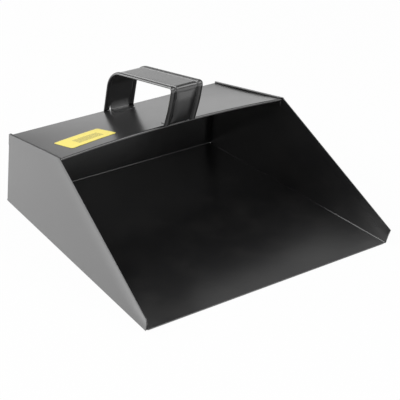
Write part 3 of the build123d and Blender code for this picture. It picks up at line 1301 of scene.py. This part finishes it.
    def _foot_grid(self, foot: Foot, columns: Array) -> Array:
        """A foot: its bend from the leg, then flat on the hood, with rounded corners at its toe.

        Args:
            foot: Which foot.
            columns: Shares of the foot's half width.

        Returns:
            Points, along the foot by across by three.
        """
        base = self.front_base if foot is Foot.FRONT else self.rear_base
        ahead = foot.value * unit(np.array([1.0, -self.pitch]))
        arc = self._foot_line(foot)
        length = self.foot_length - np.linalg.norm(arc[-1] - base)
        turn = np.linspace(0.0, math.pi / 2.0, self.toe_steps + 1)
        corner = self.foot_corner * (1.0 - np.cos(turn))
        plain = guarded(0.0, length - self.foot_corner, count=4)[:-1]
        run = np.sort(np.concatenate([plain, length - corner]))
        line = np.concatenate([arc[:-1], arc[-1] + ahead * run[:, None]])
        gone = np.clip(run - (length - self.foot_corner), 0.0, self.foot_corner)
        half = np.full(len(line), self.foot_half)
        half[len(arc) - 1 :] -= self.foot_corner - np.sqrt(self.foot_corner**2 - gone**2)
        return joined(half[:, None] * columns, line[:, :1], line[:, 1:])

    def patches(self) -> list[Patch]:
        """The web and both rolls swept along the bow, the legs' straight ends and the two feet.

        Across the strap the inner face is flat, then an ellipse that turns down, out and back over
        to the web.

        Returns:
            The grids.
        """
        columns = np.linspace(-1.0, 1.0, self.columns)
        web = self._sweep(columns * self.foot_half, np.zeros_like(columns))
        flat_x = self.foot_half + np.linspace(0.0, self.notch, self.notch_steps + 1)
        low = math.acos(2.0 * self.bead_rise / self.bead_height)
        turn = np.linspace(-low, self.bead_turn, self.bead_steps + 1)[1:]
        bead_x = self.bead_side + self.bead_width / 2.0 * np.sin(turn)
        bead_height = self.bead_rise - self.bead_height / 2.0 * np.cos(turn)
        edge_x = np.concatenate([flat_x, bead_x])
        edge_height = np.concatenate([np.zeros_like(flat_x), bead_height])
        edge = self._sweep(edge_x, edge_height)
        half = [
            Patch(edge, -UP),
            Patch(self._ends(edge[0], self.front_down), BACK),
            Patch(self._ends(edge[-1], self.rear_down), -BACK),
        ]
        feet = [Patch(self._foot_grid(foot, columns), UP) for foot in Foot]
        return [Patch(web, -UP), *half, *[grid.mirrored() for grid in half], *feet]


@dataclass
class Sticker(SheetPiece):
    """A plain rectangular sticker that lies on the hood."""

    name: str = "yellow_sticker"
    node: str = "label"
    slot: str = "label_film"
    thickness: float = 0.12
    length: float = 58.0
    width: float = 38.0
    corner: float = 3.0
    turn: float = 5.0
    inset: float = 52.0
    setback: float = 41.0
    rise: float = 0.25
    rows: int = 30
    columns: int = 21
    corner_steps: int = 6

    def patches(self) -> list[Patch]:
        """A rectangle with rounded corners, laid over the hood a little above its upper face.

        Returns:
            The grid.
        """
        turn = np.linspace(0.0, math.pi / 2.0, self.corner_steps + 1)
        run = self.length / 2.0 - self.corner * (1.0 - np.cos(turn))
        along = np.concatenate([-run, np.linspace(-run[-1], run[-1], self.rows)[1:-1], run[::-1]])
        gone = np.clip(np.abs(along) - run[-1], 0.0, self.corner)
        half = self.width / 2.0 - self.corner + np.sqrt(self.corner**2 - gone**2)
        across = np.linspace(-1.0, 1.0, self.columns) * half[:, None]
        angle = math.radians(self.turn)
        x0, y0 = self.middle
        x = x0 + along[:, None] * math.cos(angle) - across * math.sin(angle)
        y = y0 + along[:, None] * math.sin(angle) + across * math.cos(angle)
        return [Patch(joined(x, y, PAN.hood_height(x, y) + self.rise), UP)]

    @property
    def middle(self) -> tuple[float, float]:
        """Place of the sticker's middle on the hood."""
        y = PAN.hood_front_y + self.setback
        return self.inset - PAN.half_width(y, PAN.hood_front), y

    def dress(self, piece: Object, material: Material) -> None:
        """Maps the sticker by shares of its length and width, then gives it its finish.

        Args:
            piece: The sticker.
            material: Its film.
        """
        mesh = piece.data
        points = np.empty(len(mesh.vertices) * 3)
        mesh.vertices.foreach_get("co", points)
        corners = np.empty(len(mesh.loops), dtype=np.int32)
        mesh.loops.foreach_get("vertex_index", corners)
        away = points.reshape(-1, 3)[corners, :2] / METRES - np.array(self.middle)
        angle = math.radians(self.turn)
        along = away @ np.array([math.cos(angle), math.sin(angle)]) / self.length + 0.5
        across = away @ np.array([-math.sin(angle), math.cos(angle)]) / self.width + 0.5
        sheet_map = mesh.uv_layers.new(name="sticker")
        sheet_map.data.foreach_set("uv", joined(along, across).ravel())
        super().dress(piece, material)


@dataclass(frozen=True)
class SoftLamp:
    """A square soft lamp that looks at the object.

    Attributes:
        name: Name of the lamp.
        azimuth: Its direction, in degrees to the right of straight behind the pan.
        elevation: Its height, in degrees above the horizon.
        distance: How far away it hangs, in metres.
        size: Length of its sides.
        radiance: Brightness of its face.
    """

    name: str
    azimuth: float
    elevation: float
    distance: float
    size: float
    radiance: float

    def build(self) -> None:
        """Hangs the lamp: its power is radiance * pi * area."""
        turn, rise = math.radians(self.azimuth), math.radians(self.elevation)
        level = math.cos(rise)
        away = Vector((math.sin(turn) * level, math.cos(turn) * level, math.sin(rise)))
        data = bpy.data.lights.new(self.name, "AREA")
        data.size = self.size
        data.energy = self.radiance * math.pi * self.size**2
        lamp = bpy.data.objects.new(self.name, data)
        lamp.location = away * self.distance
        lamp.rotation_euler = away.to_track_quat("Z", "Y").to_euler()
        bpy.context.scene.collection.objects.link(lamp)


@dataclass(frozen=True)
class Studio:
    """A white floor, a pale sweep low behind the object, soft lamps and a dim room.

    Attributes:
        floor_size: Length of the floor's sides, in metres.
        floor_drop: How far it lies below the object.
        floor_colour: Brightness of the floor's paint.
        floor_white: Share of plain white that the floor shows to the camera.
        floor_gloss: Share that it shows in gloss.
        room: Brightness of the room.
        glow: How much brighter the sweep is at its foot.
        sweep: How much brighter it is further up.
        panel: Brightness of a wide pale panel that hangs above it.
        sweep_azimuth: Its direction, in degrees to the right of straight behind the pan.
        glow_ends: Where the glow starts and stops to fade upwards, as sines of the elevation.
        sweep_ends: The same for the sweep.
        panel_starts: Where the panel starts to show and shows in full.
        panel_ends: Where it starts and stops to fade.
        side_ends: Where they all start to show and show in full, as cosines of the turn to it.
        lamps: The lamps.
    """

    floor_size: float = 40.0
    floor_drop: float = 0.0002
    floor_colour: float = 0.75
    floor_white: float = 0.96
    floor_gloss: float = 0.5
    room: float = 0.15
    glow: float = 0.64
    sweep: float = 0.03
    panel: float = 0.15
    sweep_azimuth: float = 60.0
    glow_ends: tuple[float, float] = (0.08, 0.24)
    sweep_ends: tuple[float, float] = (0.4, 0.65)
    panel_starts: tuple[float, float] = (0.36, 0.5)
    panel_ends: tuple[float, float] = (0.65, 0.85)
    side_ends: tuple[float, float] = (0.3, 1.0)
    lamps: tuple[SoftLamp, ...] = (
        SoftLamp("key_lamp", -40.0, 38.0, 2.6, 3.2, 2.35),
        SoftLamp("right_fill", 150.0, 46.0, 2.2, 1.8, 2.0),
        SoftLamp("left_fill", -145.0, 38.0, 2.2, 1.8, 1.9),
    )

    def build(self) -> None:
        """Makes the floor, the surround and the lamps."""
        self._floor()
        self._surround()
        for lamp in self.lamps:
            lamp.build()

    def _floor(self) -> None:
        """A flat white floor that keeps a faint shadow."""
        half = self.floor_size / 2.0
        mesh = bpy.data.meshes.new("studio_floor")
        signs = ((-1, -1), (1, -1), (1, 1), (-1, 1))
        corners = [(x * half, y * half, -self.floor_drop) for x, y in signs]
        mesh.from_pydata(corners, [], [[0, 1, 2, 3]])
        floor = bpy.data.objects.new("studio_floor", mesh)
        bpy.context.scene.collection.objects.link(floor)
        material, sheet, _ = new_material("studio_floor")
        sheet.tree.nodes.clear()
        ray = sheet.add("ShaderNodeLightPath").outputs
        gloss = sheet.math("MAXIMUM", ray["Is Glossy Ray"], ray["Is Transmission Ray"])
        gloss = sheet.math("MULTIPLY", gloss, self.floor_gloss)
        share = sheet.math("MULTIPLY_ADD", ray["Is Camera Ray"], self.floor_white, gloss)
        paint = sheet.add("ShaderNodeBsdfDiffuse", {"Color": (self.floor_colour,) * 3 + (1.0,)})
        white = sheet.add("ShaderNodeEmission", {"Strength": 1.0})
        layers = {0: share, 1: paint.outputs[0], 2: white.outputs[0]}
        both = sheet.add("ShaderNodeMixShader", layers)
        sheet.add("ShaderNodeOutputMaterial", {"Surface": both.outputs[0]})
        mesh.materials.append(material)

    def _surround(self) -> None:
        """A dim room with a pale sweep, bright at its foot, and a panel; both fade to the sides."""
        world = bpy.data.worlds.new("studio_surround")
        bpy.context.scene.world = world
        world.use_nodes = True
        sheet = NodeSheet(world.node_tree)
        ray = sheet.add("ShaderNodeTexCoord").outputs["Generated"]
        level = sheet.vector("NORMALIZE", sheet.vector("MULTIPLY", ray, (1.0, 1.0, 0.0))[0])[0]
        turn = math.radians(self.sweep_azimuth)
        facing = sheet.vector("DOT_PRODUCT", level, (math.sin(turn), math.cos(turn), 0.0))["Value"]
        height = sheet.add("ShaderNodeSeparateXYZ", {0: ray}).outputs["Z"]
        low: Any = 0.0
        for fade, share in ((self.glow_ends, self.glow), (self.sweep_ends, self.sweep)):
            low = sheet.math("MULTIPLY_ADD", sheet.ramp(height, *fade, falls=True), share, low)
        above = sheet.ramp(height, *self.panel_starts)
        above = sheet.math("MULTIPLY", above, sheet.ramp(height, *self.panel_ends, falls=True))
        low = sheet.math("MULTIPLY_ADD", above, self.panel, low)
        grey = sheet.math("MULTIPLY_ADD", low, sheet.ramp(facing, *self.side_ends), self.room)
        background = sheet.tree.nodes["Background"]
        sheet.feed(background, {"Strength": grey, "Color": (1.0, 1.0, 1.0, 1.0)})


@dataclass(frozen=True)
class ViewCamera:
    """The camera, at the angle and distance worked out from the object's corners.

    Attributes:
        eye: Place of the camera, in millimetres.
        azimuth: Its turn round the object, in degrees.
        elevation: Its angle above the horizon.
        roll: Its turn round its own axis.
        lens: Focal length.
        sensor: Width of the sensor.
        shift: How far the picture's middle lies from the axis, as shares of its width.
    """

    eye: tuple[float, float, float] = (-658.1, -999.1, 650.7)
    azimuth: float = -34.188
    elevation: float = 27.442
    roll: float = 0.03
    lens: float = 108.4
    sensor: float = 36.0
    shift: tuple[float, float] = (-0.006, 0.0003)

    def build(self) -> None:
        """Makes the camera and gives it to the scene."""
        data = bpy.data.cameras.new("view_camera")
        data.lens = self.lens
        data.sensor_width = self.sensor
        data.shift_x, data.shift_y = self.shift
        camera = bpy.data.objects.new("view_camera", data)
        turn = Matrix.Rotation(math.radians(self.azimuth), 4, "Z")
        tilt = Matrix.Rotation(math.radians(90.0 - self.elevation), 4, "X")
        roll = Matrix.Rotation(math.radians(self.roll), 4, "Z")
        camera.matrix_world = Matrix.Translation(Vector(self.eye) * METRES) @ turn @ tilt @ roll
        bpy.context.scene.collection.objects.link(camera)
        bpy.context.scene.camera = camera


def main() -> None:
    """Builds the pieces, dresses them, and sets up the studio and the camera."""
    logging.basicConfig(level=logging.INFO, format="%(name)s: %(message)s")
    relief = film_relief_group()
    dust = shelf_dust_group()
    finishes = [PaintFinish(), FilmFinish()]
    materials = {finish.name: finish.material(relief, dust) for finish in finishes}
    pieces: list[SheetPiece] = [
        FloorSheet(),
        BackPanel(),
        SidePanel(side=Side.LEFT),
        SidePanel(side=Side.RIGHT),
        HoodSheet(),
        HandleStrap(),
        Sticker(),
    ]
    for piece in pieces:
        piece.dress(piece.build(), materials[piece.slot])
    Studio().build()
    ViewCamera().build()
    bpy.context.scene.view_settings.view_transform = "Standard"


if __name__ == "__main__":
    main()
